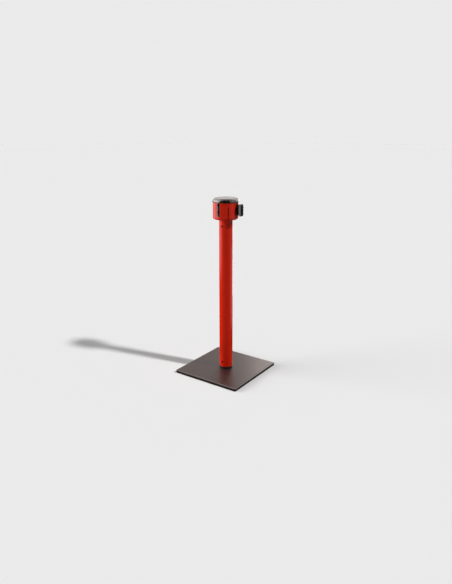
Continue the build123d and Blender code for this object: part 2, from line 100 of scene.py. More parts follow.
class Recipe:
    """A material's node tree, built up one step at a time."""

    def __init__(self, name: str) -> None:
        """Start a material with one Principled shader.

        Args:
            name: The material's name.
        """
        self.material = bpy.data.materials.new(name)
        self.material.use_nodes = True
        self.tree = self.material.node_tree
        self.tree.nodes.clear()
        self.shader = self.add("ShaderNodeBsdfPrincipled")
        output = self.add("ShaderNodeOutputMaterial")
        self.tree.links.new(self.shader.outputs["BSDF"], output.inputs["Surface"])
        self.coords = self.add("ShaderNodeTexCoord").outputs["Object"]

    def add(self, kind: str, **settings: object) -> bpy.types.Node:
        """Add a node and set its properties.

        Args:
            kind: Blender's type name of the node.
            settings: Properties of the node.

        Returns:
            The new node.
        """
        node = self.tree.nodes.new(kind)
        for key, value in settings.items():
            setattr(node, key, value)
        return node

    def set(self, **values: object) -> None:
        """Set plain values on the shader's own sockets, with _ for a space in a socket's name."""
        for key, value in values.items():
            self.shader.inputs[key.replace("_", " ")].default_value = value

    def feed(self, socket: str, source: bpy.types.NodeSocket) -> None:
        """Link a source to one of the shader's sockets."""
        self.tree.links.new(source, self.shader.inputs[socket])

    def stretched(self, stretch: Point) -> bpy.types.NodeSocket:
        """Scale the object coordinates.

        Args:
            stretch: A factor for each axis.

        Returns:
            The scaled coordinates.
        """
        mapping = self.add("ShaderNodeMapping")
        mapping.inputs["Scale"].default_value = stretch
        self.tree.links.new(self.coords, mapping.inputs["Vector"])
        return mapping.outputs["Vector"]

    def axes(self) -> tuple[bpy.types.NodeSocket, ...]:
        """Split the object coordinates.

        Returns:
            The coordinates along X, Y and Z.
        """
        split = self.add("ShaderNodeSeparateXYZ")
        self.tree.links.new(self.coords, split.inputs["Vector"])
        return tuple(split.outputs)

    def noise(self, scale: float, detail: float = 2.0, stretch: Point = (1, 1, 1),
              source: Optional[bpy.types.NodeSocket] = None) -> bpy.types.NodeSocket:
        """Soft noise.

        Args:
            scale: Cells per metre.
            detail: Octaves.
            stretch: Factors on the coordinates.
            source: Coordinates to use in place of the stretched ones.

        Returns:
            The noise's value, about 0.5 on average.
        """
        node = self.add("ShaderNodeTexNoise")
        node.inputs["Scale"].default_value = scale
        node.inputs["Detail"].default_value = detail
        self.tree.links.new(source or self.stretched(stretch), node.inputs["Vector"])
        return node.outputs["Fac"]

    def math(self, operation: str, first: object, second: object = 0.0) -> bpy.types.NodeSocket:
        """Do one step of arithmetic.

        Args:
            operation: Blender's name of the step.
            first: A socket or a number.
            second: Another one, where the step takes two.

        Returns:
            The result.
        """
        node = self.add("ShaderNodeMath", operation=operation)
        for slot, value in zip(node.inputs, (first, second)):
            if isinstance(value, bpy.types.NodeSocket):
                self.tree.links.new(value, slot)
            else:
                slot.default_value = value
        return node.outputs["Value"]

    def mean(self, first: bpy.types.NodeSocket, second: bpy.types.NodeSocket,
             share: float = 0.5) -> bpy.types.NodeSocket:
        """Weighted mean of two values.

        Args:
            first: One value.
            second: The other.
            share: The weight of the first.

        Returns:
            The mean.
        """
        return self.math("ADD", self.math("MULTIPLY", first, share), self.math("MULTIPLY", second, 1 - share))

    def spread(self, source: bpy.types.NodeSocket, low: float, high: float, start: float = 0.3,
               end: float = 0.7) -> bpy.types.NodeSocket:
        """Map a value to a new range.

        Args:
            source: The value.
            low: What start maps to.
            high: What end maps to.
            start: Lower end of the source's range.
            end: Upper end of the source's range.

        Returns:
            The mapped value.
        """
        node = self.add("ShaderNodeMapRange")
        for key, value in (("From Min", start), ("From Max", end), ("To Min", low), ("To Max", high)):
            node.inputs[key].default_value = value
        self.tree.links.new(source, node.inputs["Value"])
        return node.outputs["Result"]

    def tint(self, factor: bpy.types.NodeSocket, dark: object, light: object) -> bpy.types.NodeSocket:
        """Mix two colours.

        Args:
            factor: The share of the second.
            dark: The colour at 0, as a socket or a constant.
            light: The colour at 1, as a socket or a constant.

        Returns:
            The mixed colour.
        """
        node = self.add("ShaderNodeMix", data_type="RGBA")
        for slot, colour in zip((s for s in node.inputs if s.type == "RGBA"), (dark, light)):
            if isinstance(colour, bpy.types.NodeSocket):
                self.tree.links.new(colour, slot)
            else:
                slot.default_value = (*colour, 1)
        self.tree.links.new(factor, node.inputs["Factor"])
        return next(s for s in node.outputs if s.type == "RGBA")

    def marked(self, plain: bpy.types.NodeSocket, attribute: str, colour: Colour,
               share: object = 1.0) -> bpy.types.NodeSocket:
        """Change the colour on the faces that an attribute marks.

        Args:
            plain: The colour elsewhere.
            attribute: Name of the faces' attribute, 1 where they are marked.
            colour: The colour where they are marked.
            share: How much of it shows there.

        Returns:
            The colour of both.
        """
        marks = self.add("ShaderNodeAttribute", attribute_name=attribute)
        return self.tint(self.math("MULTIPLY", marks.outputs["Fac"], share), plain, colour)

    def bump(self, height: bpy.types.NodeSocket, depth: float, strength: float = 1.0) -> None:
        """Raise the surface by a height.

        Args:
            height: The height, from 0 to 1.
            depth: What a height of 1 is, in metres.
            strength: How much of it shows.
        """
        node = self.add("ShaderNodeBump")
        node.inputs["Strength"].default_value = strength
        node.inputs["Distance"].default_value = depth
        self.tree.links.new(height, node.inputs["Height"])
        self.feed("Normal", node.outputs["Normal"])


def shaded(colour: Colour, share: float) -> Colour:
    """A colour made darker or lighter by a share."""
    return tuple(min(1.0, channel * share) for channel in colour)


# Finishes


@dataclass(frozen=True)
class Enamel:
    """Smooth paint with a faint orange peel and slight cloudiness."""

    name: str
    colour: Colour
    roughness: float = 0.3
    smoothest: float = 0.95
    roughest: float = 1.06
    wear_cells: float = 30.0
    specular: float = 0.5
    coat: float = 0.0
    coat_roughness: float = 0.12
    peel_cells: float = 420.0
    peel_depth: float = 0.004 * MM
    cloud_cells: float = 9.0
    cloud: float = 0.05
    # Share of the colour left on faces darkened as painted shade
    painted_shade: float = 0.15

    def material(self) -> bpy.types.Material:
        """Build the paint, darkened as painted shade on the faces that are marked for it.

        Returns:
            The material.
        """
        r = Recipe(self.name)
        cloud = r.spread(r.noise(self.cloud_cells, 3.0), 0, 1)
        clean = r.tint(cloud, shaded(self.colour, 1 - self.cloud), shaded(self.colour, 1 + self.cloud))
        # Faces marked for painted shade get the darkened colour
        r.feed("Base Color", r.marked(clean, PAINTED_SHADE, shaded(self.colour, self.painted_shade)))
        wear = r.noise(self.wear_cells, 3.0)
        r.feed("Roughness", r.spread(wear, self.roughness * self.smoothest, self.roughness * self.roughest))
        r.bump(r.noise(self.peel_cells), self.peel_depth)
        r.set(Specular_IOR_Level=self.specular, Coat_Weight=self.coat, Coat_Roughness=self.coat_roughness)
        return r.material


@dataclass(frozen=True)
class PowderCoat:
    """Textured powder coat: a fine pebbled surface, cloudy, with a painted highlight in pale patches on marked
    edges and a painted red reflection in the tint of its gloss.
    """

    name: str
    colour: Colour
    darkest: float = 0.82
    lightest: float = 1.18
    roughness: float = 0.45
    smoothest: float = 0.88
    roughest: float = 1.12
    specular: float = 0.5
    # Tint of the gloss, a painted red reflection
    painted_reflection_tint: Colour = (1.0, 0.72, 0.64)
    pebble_cells: float = 900.0
    pebble_depth: float = 0.04 * MM
    cloud_cells: float = 5.0
    painted_edge_highlight: Colour = (0.15, 0.145, 0.14)
    highlight_patch_cells: float = 70.0
    highlight_patch_least: float = 0.55

    def material(self) -> bpy.types.Material:
        """Build the coat, lightened in patches as a painted highlight where faces are marked for it.

        Returns:
            The material.
        """
        r = Recipe(self.name)
        pebble = r.noise(self.pebble_cells, 3.0)
        cloud = r.noise(self.cloud_cells, 4.0)
        tone = r.spread(r.mean(pebble, cloud), 0, 1, 0.35, 0.65)
        clean = r.tint(tone, shaded(self.colour, self.darkest), shaded(self.colour, self.lightest))
        highlight_patches = r.spread(r.noise(self.highlight_patch_cells, 4.0), self.highlight_patch_least, 1)
        # Marked edge faces get a painted highlight, a pale colour in patches
        r.feed("Base Color", r.marked(clean, PAINTED_EDGE_HIGHLIGHT, self.painted_edge_highlight, highlight_patches))
        r.feed("Roughness", r.spread(cloud, self.roughness * self.smoothest, self.roughness * self.roughest))
        r.bump(pebble, self.pebble_depth)
        r.set(Specular_IOR_Level=self.specular, Specular_Tint=(*self.painted_reflection_tint, 1))
        return r.material


@dataclass(frozen=True)
class Moulded:
    """Injection-moulded plastic, from glossy to matt, with a fine grain."""

    name: str
    colour: Colour
    darkest: float = 0.88
    lightest: float = 1.14
    flow_cells: float = 40.0
    flow_stretch: Point = (1, 1, 0.35)
    roughness: float = 0.3
    smoothest: float = 0.88
    roughest: float = 1.12
    wear_cells: float = 60.0
    specular: float = 0.5
    coat: float = 0.0
    coat_roughness: float = 0.15
    grain_cells: float = 1500.0
    grain_depth: float = 0.004 * MM

    def material(self) -> bpy.types.Material:
        """Build the plastic.

        Returns:
            The material.
        """
        r = Recipe(self.name)
        flow = r.spread(r.noise(self.flow_cells, 3.0, self.flow_stretch), 0, 1)
        r.feed("Base Color", r.tint(flow, shaded(self.colour, self.darkest),
                                    shaded(self.colour, self.lightest)))
        wear = r.noise(self.wear_cells, 3.0)
        r.feed("Roughness", r.spread(wear, self.roughness * self.smoothest, self.roughness * self.roughest))
        r.bump(r.noise(self.grain_cells), self.grain_depth)
        r.set(Specular_IOR_Level=self.specular, Coat_Weight=self.coat, Coat_Roughness=self.coat_roughness)
        return r.material


@dataclass(frozen=True)
class Metal:
    """Bare or treated metal with a grain that runs one way."""

    name: str
    colour: Colour
    tarnish: float = 0.06
    tarnish_cells: float = 25.0
    roughness: float = 0.3
    smoothest: float = 0.8
    roughest: float = 1.2
    grain_cells: float = 600.0
    grain_stretch: Point = (1, 1, 0.05)
    grain_depth: float = 0.01 * MM

    def material(self) -> bpy.types.Material:
        """Build the metal.

        Returns:
            The material.
        """
        r = Recipe(self.name)
        grain = r.noise(self.grain_cells, 3.0, self.grain_stretch)
        cloud = r.spread(r.noise(self.tarnish_cells, 3.0), 0, 1)
        r.feed("Base Color", r.tint(cloud, shaded(self.colour, 1 - self.tarnish),
                                    shaded(self.colour, 1 + self.tarnish)))
        r.feed("Roughness", r.spread(grain, self.roughness * self.smoothest, self.roughness * self.roughest))
        r.bump(grain, self.grain_depth)
        r.set(Metallic=1.0)
        return r.material


@dataclass(frozen=True)
class TurnedMetal:
    """Metal turned on a lathe: fine uneven rings about the Z axis."""

    name: str
    colour: Colour
    darkest: float = 0.92
    lightest: float = 1.06
    cloud_cells: float = 18.0
    # Share of the colour left on faces darkened as painted shade
    painted_shade: float = 0.12
    roughness: float = 0.25
    smoothest: float = 0.8
    roughest: float = 1.2
    ring_cells: float = 1600.0
    ring_depth: float = 0.004 * MM

    def material(self) -> bpy.types.Material:
        """Build the metal, darkened as painted shade on the faces that are marked for it.

        Returns:
            The material.
        """
        r = Recipe(self.name)
        length = r.add("ShaderNodeVectorMath", operation="LENGTH")
        r.tree.links.new(r.stretched((1, 1, 0)), length.inputs[0])
        profile = r.add("ShaderNodeCombineXYZ")
        r.tree.links.new(length.outputs["Value"], profile.inputs["X"])
        r.tree.links.new(r.axes()[2], profile.inputs["Y"])
        rings = r.noise(self.ring_cells, 3.0, source=profile.outputs["Vector"])
        tone = r.mean(rings, r.noise(self.cloud_cells, 4.0))
        clean = r.tint(r.spread(tone, 0, 1), shaded(self.colour, self.darkest),
                       shaded(self.colour, self.lightest))
        # Faces marked for painted shade get the darkened colour
        r.feed("Base Color", r.marked(clean, PAINTED_SHADE, shaded(self.colour, self.painted_shade)))
        r.feed("Roughness", r.spread(tone, self.roughness * self.smoothest, self.roughness * self.roughest))
        r.bump(rings, self.ring_depth)
        r.set(Metallic=1.0)
        return r.material


@dataclass(frozen=True)
class Rubber:
    """Matt rubber with a waffle of shallow ribs on its flat faces."""

    name: str
    colour: Colour
    darkest: float = 0.8
    lightest: float = 1.5
    dust_cells: float = 60.0
    smoothest: float = 0.7
    roughest: float = 0.9
    specular: float = 0.3
    rib_pitch: float = 6 * MM
    rib_depth: float = 0.4 * MM

    def material(self) -> bpy.types.Material:
        """Build the rubber.

        Returns:
            The material.
        """
        r = Recipe(self.name)
        turn = 2 * math.pi / self.rib_pitch
        waves = [r.math("SINE", r.math("MULTIPLY", axis, turn)) for axis in r.axes()[:2]]
        ribs = r.spread(r.math("MAXIMUM", *waves), 0, 1, -0.2, 0.8)
        dust = r.noise(self.dust_cells, 4.0)
        r.feed("Base Color", r.tint(r.spread(dust, 0, 1), shaded(self.colour, self.darkest),
                                    shaded(self.colour, self.lightest)))
        r.feed("Roughness", r.spread(dust, self.smoothest, self.roughest))
        r.bump(ribs, self.rib_depth)
        r.set(Specular_IOR_Level=self.specular)
        return r.material


@dataclass(frozen=True)
class Webbing:
    """Woven polyester belt: fine ribs along its length, picks across it."""

    name: str
    colour: Colour
    darkest: float = 0.45
    lightest: float = 1.6
    smoothest: float = 0.62
    roughest: float = 0.85
    specular: float = 0.35
    sheen: float = 0.25
    sheen_roughness: float = 0.4
    rib_pitch: float = 1.6 * MM
    pick_pitch: float = 1.1 * MM
    pick_shift: float = 1.5
    pick_least: float = 0.45
    fuzz_cells: float = 900.0
    thread_share: float = 0.75
    depth: float = 0.18 * MM

    def material(self) -> bpy.types.Material:
        """Build the weave.

        Returns:
            The material.
        """
        r = Recipe(self.name)
        x, y, z = r.axes()
        warp = r.math("MULTIPLY", z, 2 * math.pi / self.rib_pitch)
        weft = r.math("MULTIPLY", r.math("ADD", x, y), 2 * math.pi / self.pick_pitch)
        rib = r.math("ABSOLUTE", r.math("SINE", r.math("MULTIPLY", warp, 0.5)))
        shift = r.math("MULTIPLY", r.math("SINE", warp), self.pick_shift)
        pick = r.spread(r.math("SINE", r.math("ADD", weft, shift)), self.pick_least, 1, -1, 1)
        fuzz = r.noise(self.fuzz_cells, 3.0)
        tone = r.mean(r.math("MULTIPLY", rib, pick), fuzz, self.thread_share)
        r.feed("Base Color", r.tint(r.spread(tone, 0, 1, 0.1, 0.9), shaded(self.colour, self.darkest),
                                    shaded(self.colour, self.lightest)))
        r.feed("Roughness", r.spread(fuzz, self.smoothest, self.roughest))
        r.bump(tone, self.depth)
        r.set(Specular_IOR_Level=self.specular, Sheen_Weight=self.sheen, Sheen_Roughness=self.sheen_roughness)
        return r.material


RED: Colour = (0.5, 0.0125, 0.0015)
BLACK: Colour = (0.009, 0.009, 0.01)
EVEN: Point = (1, 1, 1)

FINISHES = {
    "red_paint": Enamel("red_tube_paint", RED, roughness=0.24, specular=0.32),
    "red_shell": Enamel("red_casing_lacquer", RED, roughness=0.22, coat=0.15),
    # Dark grey coat; its warm brown cast is painted red bounce light, and its gloss tint a painted red reflection
    "plate_paint": PowderCoat("plate_powder_coat", (0.023, 0.0145, 0.0125), roughness=0.37, specular=0.85),
    "pad_rubber": Rubber("pad_rubber", (0.012, 0.012, 0.012)),
    "black_plastic": Moulded("black_moulding", BLACK, roughness=0.22, specular=0.8),
    "insert_plastic": Moulded("insert_moulding", BLACK, roughness=0.2, specular=1.0, coat=1.0),
    "clip_plastic": Moulded("clip_moulding", BLACK, roughness=0.25, specular=1.0, coat=1.0),
    "cap_metal": TurnedMetal("turned_cap_metal", (0.43, 0.38, 0.365), roughness=0.24),
    "steel": Metal("ground_steel", (0.56, 0.56, 0.57), roughness=0.28),
    "black_steel": Metal("blackened_steel", (0.045, 0.045, 0.048), roughness=0.42, grain_cells=300.0,
                         grain_stretch=EVEN, grain_depth=0.02 * MM),
    "socket_steel": Metal("socket_screw_steel", (0.012, 0.012, 0.013), roughness=0.5, grain_cells=300.0,
                          grain_stretch=EVEN, grain_depth=0.02 * MM),
    "spring_steel": Metal("blued_spring_steel", (0.2, 0.23, 0.3), grain_cells=500.0,
                          grain_stretch=(1, 1, 0.04)),
    "bronze": Metal("bush_bronze", (0.6, 0.36, 0.15), roughness=0.32, grain_cells=500.0,
                    grain_stretch=(1, 1, 0.2)),
    "cast_alloy": Metal("cast_alloy", (0.55, 0.55, 0.56), roughness=0.5, grain_cells=500.0,
                        grain_stretch=EVEN, grain_depth=0.05 * MM),
    "white_plastic": Moulded("reel_moulding", (0.72, 0.71, 0.67), roughness=0.45),
    "grey_plastic": Moulded("cassette_moulding", (0.11, 0.11, 0.12), roughness=0.5),
    "belt_fabric": Webbing("belt_weave", (0.016, 0.016, 0.018)),
    "thread": Moulded("sewing_thread", (0.03, 0.03, 0.032), roughness=0.6, specular=0.3,
                      grain_cells=2500.0, grain_depth=0.03 * MM),
}


@cache
def finish(key: str) -> bpy.types.Material:
    """The material of a finish, built once."""
    return FINISHES[key].material()


# Mesh tools

# Points closer than this are merged where a lathe's seam closes, and after a cut
SEAM = 1e-7
WELD = 2e-6
# Edges sharper than this stay sharp in the shading, and how much large faces count in it
SHARP_FROM = math.radians(40)
FACE_WEIGHT = 80


def lathe(outline: Sequence[tuple[float, float]], closed: bool = True, steps: int = 128) -> bmesh.types.BMesh:
    """Turn an outline about the Z axis.

    Args:
        outline: Points as radius and level, in metres.
        closed: Whether the last point joins the first; else both ends lie on the axis.
        steps: Facets of a full turn.

    Returns:
        The turned mesh.
    """
    bm = bmesh.new()
    verts = [bm.verts.new((r, 0, z)) for r, z in outline]
    pairs = list(zip(verts, verts[1:]))
    if closed:
        pairs.append((verts[-1], verts[0]))
    edges = [bm.edges.new(pair) for pair in pairs]
    bmesh.ops.spin(bm, geom=verts + edges, cent=(0, 0, 0), axis=(0, 0, 1), dvec=(0, 0, 0),
                   angle=2 * math.pi, steps=steps, use_merge=True, use_duplicate=False)
    bmesh.ops.remove_doubles(bm, verts=bm.verts, dist=SEAM)
    bmesh.ops.recalc_face_normals(bm, faces=bm.faces)
    return bm


def brick(low: Iterable[float], high: Iterable[float]) -> bmesh.types.BMesh:
    """Make a box between two corners.

    Args:
        low: The lowest corner.
        high: The highest corner.

    Returns:
        The box.
    """
    a, b = Vector(low), Vector(high)
    bm = bmesh.new()
    bmesh.ops.create_cube(bm, size=1)
    bmesh.ops.scale(bm, vec=b - a, verts=bm.verts)
    bmesh.ops.translate(bm, vec=(a + b) / 2, verts=bm.verts)
    return bm


def rod(radius: float, start: Point, end: Point, steps: int = 32) -> bmesh.types.BMesh:
    """Make a round bar between two points.

    Args:
        radius: The bar's radius.
        start: One end's centre.
        end: The other end's centre.
        steps: Facets round the bar.

    Returns:
        The bar.
    """
    a, b = Vector(start), Vector(end)
    bm = bmesh.new()
    bmesh.ops.create_cone(bm, cap_ends=True, segments=steps, radius1=radius, radius2=radius,
                          depth=(b - a).length)
    turn = Vector((0, 0, 1)).rotation_difference(b - a).to_matrix().to_4x4()
    bmesh.ops.transform(bm, matrix=Matrix.Translation((a + b) / 2) @ turn, verts=bm.verts)
    return bm


def is_upright(edge: bmesh.types.BMEdge) -> bool:
    """Whether an edge runs along Z."""
    run = edge.verts[1].co - edge.verts[0].co
    return abs(run.z) > 0.99 * run.length


def is_level(edge: bmesh.types.BMEdge, level: float) -> bool:
    """Whether an edge lies at a level."""
    return all(abs(v.co.z - level) < TOUCH for v in edge.verts)


def off_diagonal(place: Vector) -> float:
    """How far a place lies beside the nearest of the two diagonals between X and Y."""
    return abs(abs(place.x) - abs(place.y)) / math.sqrt(2)


def from_axis(place: Vector) -> float:
    """How far a place lies from the Z axis."""
    return math.hypot(place.x, place.y)


def mark(bm: bmesh.types.BMesh, attribute: str, chosen: Callable[[bmesh.types.BMFace], bool]) -> None:
    """Mark faces with an attribute that a finish reads.

    Args:
        bm: The mesh.
        attribute: Name of the attribute.
        chosen: Whether a face is marked.
    """
    layer = bm.faces.layers.float.new(attribute)
    for face in bm.faces:
        face[layer] = float(chosen(face))


def soften(bm: bmesh.types.BMesh, width: float, segments: int = 3, limit: float = 28.0,
           chosen: Optional[Iterable[bmesh.types.BMEdge]] = None) -> None:
    """Round edges.

    Args:
        bm: The mesh.
        width: How far the rounding reaches, in metres.
        segments: Facets of the rounding.
        limit: Sharpness in degrees from which edges are rounded.
        chosen: The edges, if not all of the mesh.
    """
    bevelled = [e for e in (chosen or bm.edges) if len(e.link_faces) == 2
                and e.calc_face_angle(0) > math.radians(limit)]
    bmesh.ops.bevel(bm, geom=bevelled, offset=width, offset_type="OFFSET", segments=segments, profile=0.5,
                    affect="EDGES", clamp_overlap=True, material=-1)


def turned_by(bm: bmesh.types.BMesh, degrees: float) -> bmesh.types.BMesh:
    """Copy a mesh and turn it about the Z axis.

    Args:
        bm: The mesh, which stays as it is.
        degrees: The angle.

    Returns:
        The turned copy.
    """
    copy = bm.copy()
    turn = Matrix.Rotation(math.radians(degrees), 3, "Z")
    bmesh.ops.rotate(copy, cent=(0, 0, 0), matrix=turn, verts=copy.verts)
    return copy


def scratch_object(bm: bmesh.types.BMesh, name: str = "scratch") -> bpy.types.Object:
    """Put a mesh into a new object.

    Args:
        bm: The mesh, which is freed.
        name: The object's name.

    Returns:
        The object, at the origin.
    """
    mesh = bpy.data.meshes.new(name)
    bm.to_mesh(mesh)
    bm.free()
    obj = bpy.data.objects.new(name, mesh)
    bpy.context.scene.collection.objects.link(obj)
    return obj


class Join(Enum):
    """How a tool mesh acts on a piece."""

    CUT = "DIFFERENCE"
    ADD = "UNION"
    KEEP = "INTERSECT"


def worked(bm: bmesh.types.BMesh, steps: Iterable[tuple[Join, bmesh.types.BMesh]]) -> bmesh.types.BMesh:
    """Cut tools out of a mesh or add them to it.

    Args:
        bm: The mesh, which is freed.
        steps: Each tool mesh, which is freed, and how it acts.

    Returns:
        The new mesh.
    """
    piece = scratch_object(bm)
    tools = []
    for join, tool in steps:
        tools.append(scratch_object(tool))
        modifier = piece.modifiers.new("tool", "BOOLEAN")
        modifier.operation = join.value
        modifier.solver = "EXACT"
        modifier.object = tools[-1]
    bpy.context.view_layer.update()
    done = bmesh.new()
    done.from_object(piece, bpy.context.evaluated_depsgraph_get())
    for obj in [piece, *tools]:
        mesh = obj.data
        bpy.data.objects.remove(obj)
        bpy.data.meshes.remove(mesh)
    bmesh.ops.remove_doubles(done, verts=done.verts, dist=WELD)
    bmesh.ops.dissolve_degenerate(done, dist=WELD, edges=done.edges)
    return done


def cut(bm: bmesh.types.BMesh, *tools: bmesh.types.BMesh) -> bmesh.types.BMesh:
    """Cut tools out of a mesh."""
    return worked(bm, [(Join.CUT, tool) for tool in tools])


def joined(bm: bmesh.types.BMesh, *tools: bmesh.types.BMesh) -> bmesh.types.BMesh:
    """Join tools to a mesh."""
    return worked(bm, [(Join.ADD, tool) for tool in tools])


def copied(node: str) -> bmesh.types.BMesh:
    """Copy a CAD node's mesh, with its flat faces whole again.

    Args:
        node: The node's name.

    Returns:
        The copy.
    """
    bm = bmesh.new()
    bm.from_mesh(frame["nodes"][node].data)
    bmesh.ops.remove_doubles(bm, verts=bm.verts, dist=TOUCH)
    bmesh.ops.dissolve_limit(bm, angle_limit=math.radians(1.0), verts=bm.verts, edges=bm.edges)
    return bm


def slot_of(node: str) -> str:
    """Look up a node's material slot in the record.

    Args:
        node: The node's name.

    Returns:
        The slot's name.
    """
    for part in frame["record"]["subparts"]:
        if part["node"] == node:
            return part["material_slot"]
    raise KeyError(node)


def publish(bm: bmesh.types.BMesh, name: str, body: Body, look: str, nodes: Sequence[str] = ()) -> bpy.types.Object:
    """Turn a mesh into a finished piece that rides on a body.

    Args:
        bm: The mesh, which is freed.
        name: The piece's name.
        body: The body it rides on.
        look: Key of its finish.
        nodes: CAD nodes that it stands for.

    Returns:
        The new object.
    """
    obj = scratch_object(bm, name)
    obj.data.materials.append(finish(look))
    for polygon in obj.data.polygons:
        polygon.use_smooth = True
    obj.data.set_sharp_from_angle(angle=SHARP_FROM)
    weighted = obj.modifiers.new("weighted_normals", "WEIGHTED_NORMAL")
    weighted.keep_sharp = True
    weighted.weight = FACE_WEIGHT
    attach(obj, body.value)
    if nodes:
        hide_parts(*nodes)
    log.info("%s: %d faces, finish %s, on %s", name, len(obj.data.polygons), look, body.value)
    return obj


def dress(node: str, look: Optional[str] = None) -> None:
    """Give a CAD node its finish.

    Args:
        node: The node's name.
        look: Key of the finish, if not the one named like the node's slot.
    """
    obj = frame["nodes"][node]
    key = look or slot_of(node)
    obj.data.materials.clear()
    obj.data.materials.append(finish(key))
    log.info("%s: CAD node, finish %s", node, key)


# Sub-assemblies


@dataclass
class Base:
    """Square plate on its rubber pad, with the screws and the ring at the tube's foot."""

    corner_radius: float = 5 * MM
    edge_radius: float = 3 * MM
    foot_chamfer: float = 0.75 * MM
    pad_inset: float = 1.5 * MM
    pad_opening: float = 44 * MM
    ring_gap: float = 0.05 * MM
    ring_edge: float = 0.8 * MM
    # Upward part of a face's normal where the top edge gets a painted highlight
    highlight_from: float = 0.05
    highlight_to: float = 0.99

    def slab(self, node: str, corner: float) -> bmesh.types.BMesh:
        """Make a flat slab the size of a node.

        Args:
            node: The node's name.
            corner: Radius of the slab's upright corners.

        Returns:
            The slab.
        """
        low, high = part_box(node)
        bm = brick(low, high)
        soften(bm, corner, 10, chosen=[e for e in bm.edges if is_upright(e)])
        return bm

    def plate(self) -> None:
        """Build the steel plate with its rounded top edge."""
        low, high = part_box("base_plate")
        bm = self.slab("base_plate", self.corner_radius)
        soften(bm, self.edge_radius, 5, 60, [e for e in bm.edges if is_level(e, high.z)])
        # The rounded top edge is marked for a painted highlight
        mark(bm, PAINTED_EDGE_HIGHLIGHT, lambda face: self.highlight_from < face.normal.z < self.highlight_to)
        soften(bm, self.foot_chamfer, 1, 60, [e for e in bm.edges if is_level(e, low.z)])
        publish(bm, "plate", Body.POST, "plate_paint", ["base_plate"])

    def pad(self) -> None:
        """Build the rubber sheet with its opening."""
        low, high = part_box("base_pad")
        bm = self.slab("base_pad", self.corner_radius - self.pad_inset)
        hole = rod(self.pad_opening, (0, 0, low.z - SPARE), (0, 0, high.z + SPARE), 96)
        publish(cut(bm, hole), "rubber_pad", Body.POST, "pad_rubber", ["base_pad"])

    def ring(self) -> None:
        """Build the black ring that the tube stands on."""
        low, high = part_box("foot_ring")
        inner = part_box("base_spigot")[1].x + self.ring_gap
        bm = lathe([(inner, low.z), (high.x, low.z), (high.x, high.z), (inner, high.z)])
        soften(bm, self.ring_edge, 3)
        publish(bm, "foot_collar", Body.POST, "black_plastic", ["foot_ring"])

    def build(self) -> None:
        """Build the whole base."""
        self.plate()
        self.pad()
        self.ring()
        for node in ("base_screws", "base_spigot"):
            dress(node)


@dataclass
class Post:
    """Straight tube with its two set screws."""

    wall: float = 2 * MM
    end_edge: float = 0.4 * MM
    hole_radius: float = 5.05 * MM
    hole_flare: float = 1.1 * MM
    hole_reach: float = 5 * MM

    def build(self) -> None:
        """Build the tube and dress what holds it."""
        low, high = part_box("post_tube")
        outer = high.x
        inner = outer - self.wall
        bm = lathe([(inner, low.z), (outer, low.z), (outer, high.z), (inner, high.z)])
        soften(bm, self.end_edge, 2)
        screws_low, screws_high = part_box("set_screws")
        radius = (screws_high.x - screws_low.x) / 2
        levels = (screws_low.z + radius, screws_high.z - radius)
        bm = cut(bm, *(self.hole(z, inner, outer) for z in levels))
        # Faces in and round the set screws' holes are darkened as painted shade
        mark(bm, PAINTED_SHADE, lambda face: self.in_hole(face.calc_center_median(), levels))
        publish(bm, "red_tube", Body.POST, "red_paint", ["post_tube"])
        dress("set_screws", "socket_steel")
        dress("head_plug")

    def hole(self, level: float, inner: float, outer: float) -> bmesh.types.BMesh:
        """Cutter for a set screw's hole, which widens at the tube's surface.

        Args:
            level: Level of the screw's axis.
            inner: The tube's inner radius.
            outer: Its outer radius.

        Returns:
            The cutter, pointing to -Y.
        """
        start = inner - self.hole_reach
        end = outer + SPARE
        mouth = self.hole_radius + self.hole_flare + SPARE
        bm = lathe([(0, start), (self.hole_radius, start), (self.hole_radius, outer - self.hole_flare),
                    (mouth, end), (0, end)], False, 40)
        bmesh.ops.rotate(bm, verts=bm.verts, matrix=Matrix.Rotation(math.radians(90), 3, "X"))
        bmesh.ops.translate(bm, verts=bm.verts, vec=(0, 0, level))
        return bm

    def in_hole(self, place: Vector, levels: Iterable[float]) -> bool:
        """Whether a place lies in one of the holes at some levels."""
        reach = self.hole_radius + self.hole_flare
        return place.y < 0 and any(math.hypot(place.x, place.z - level) < reach for level in levels)


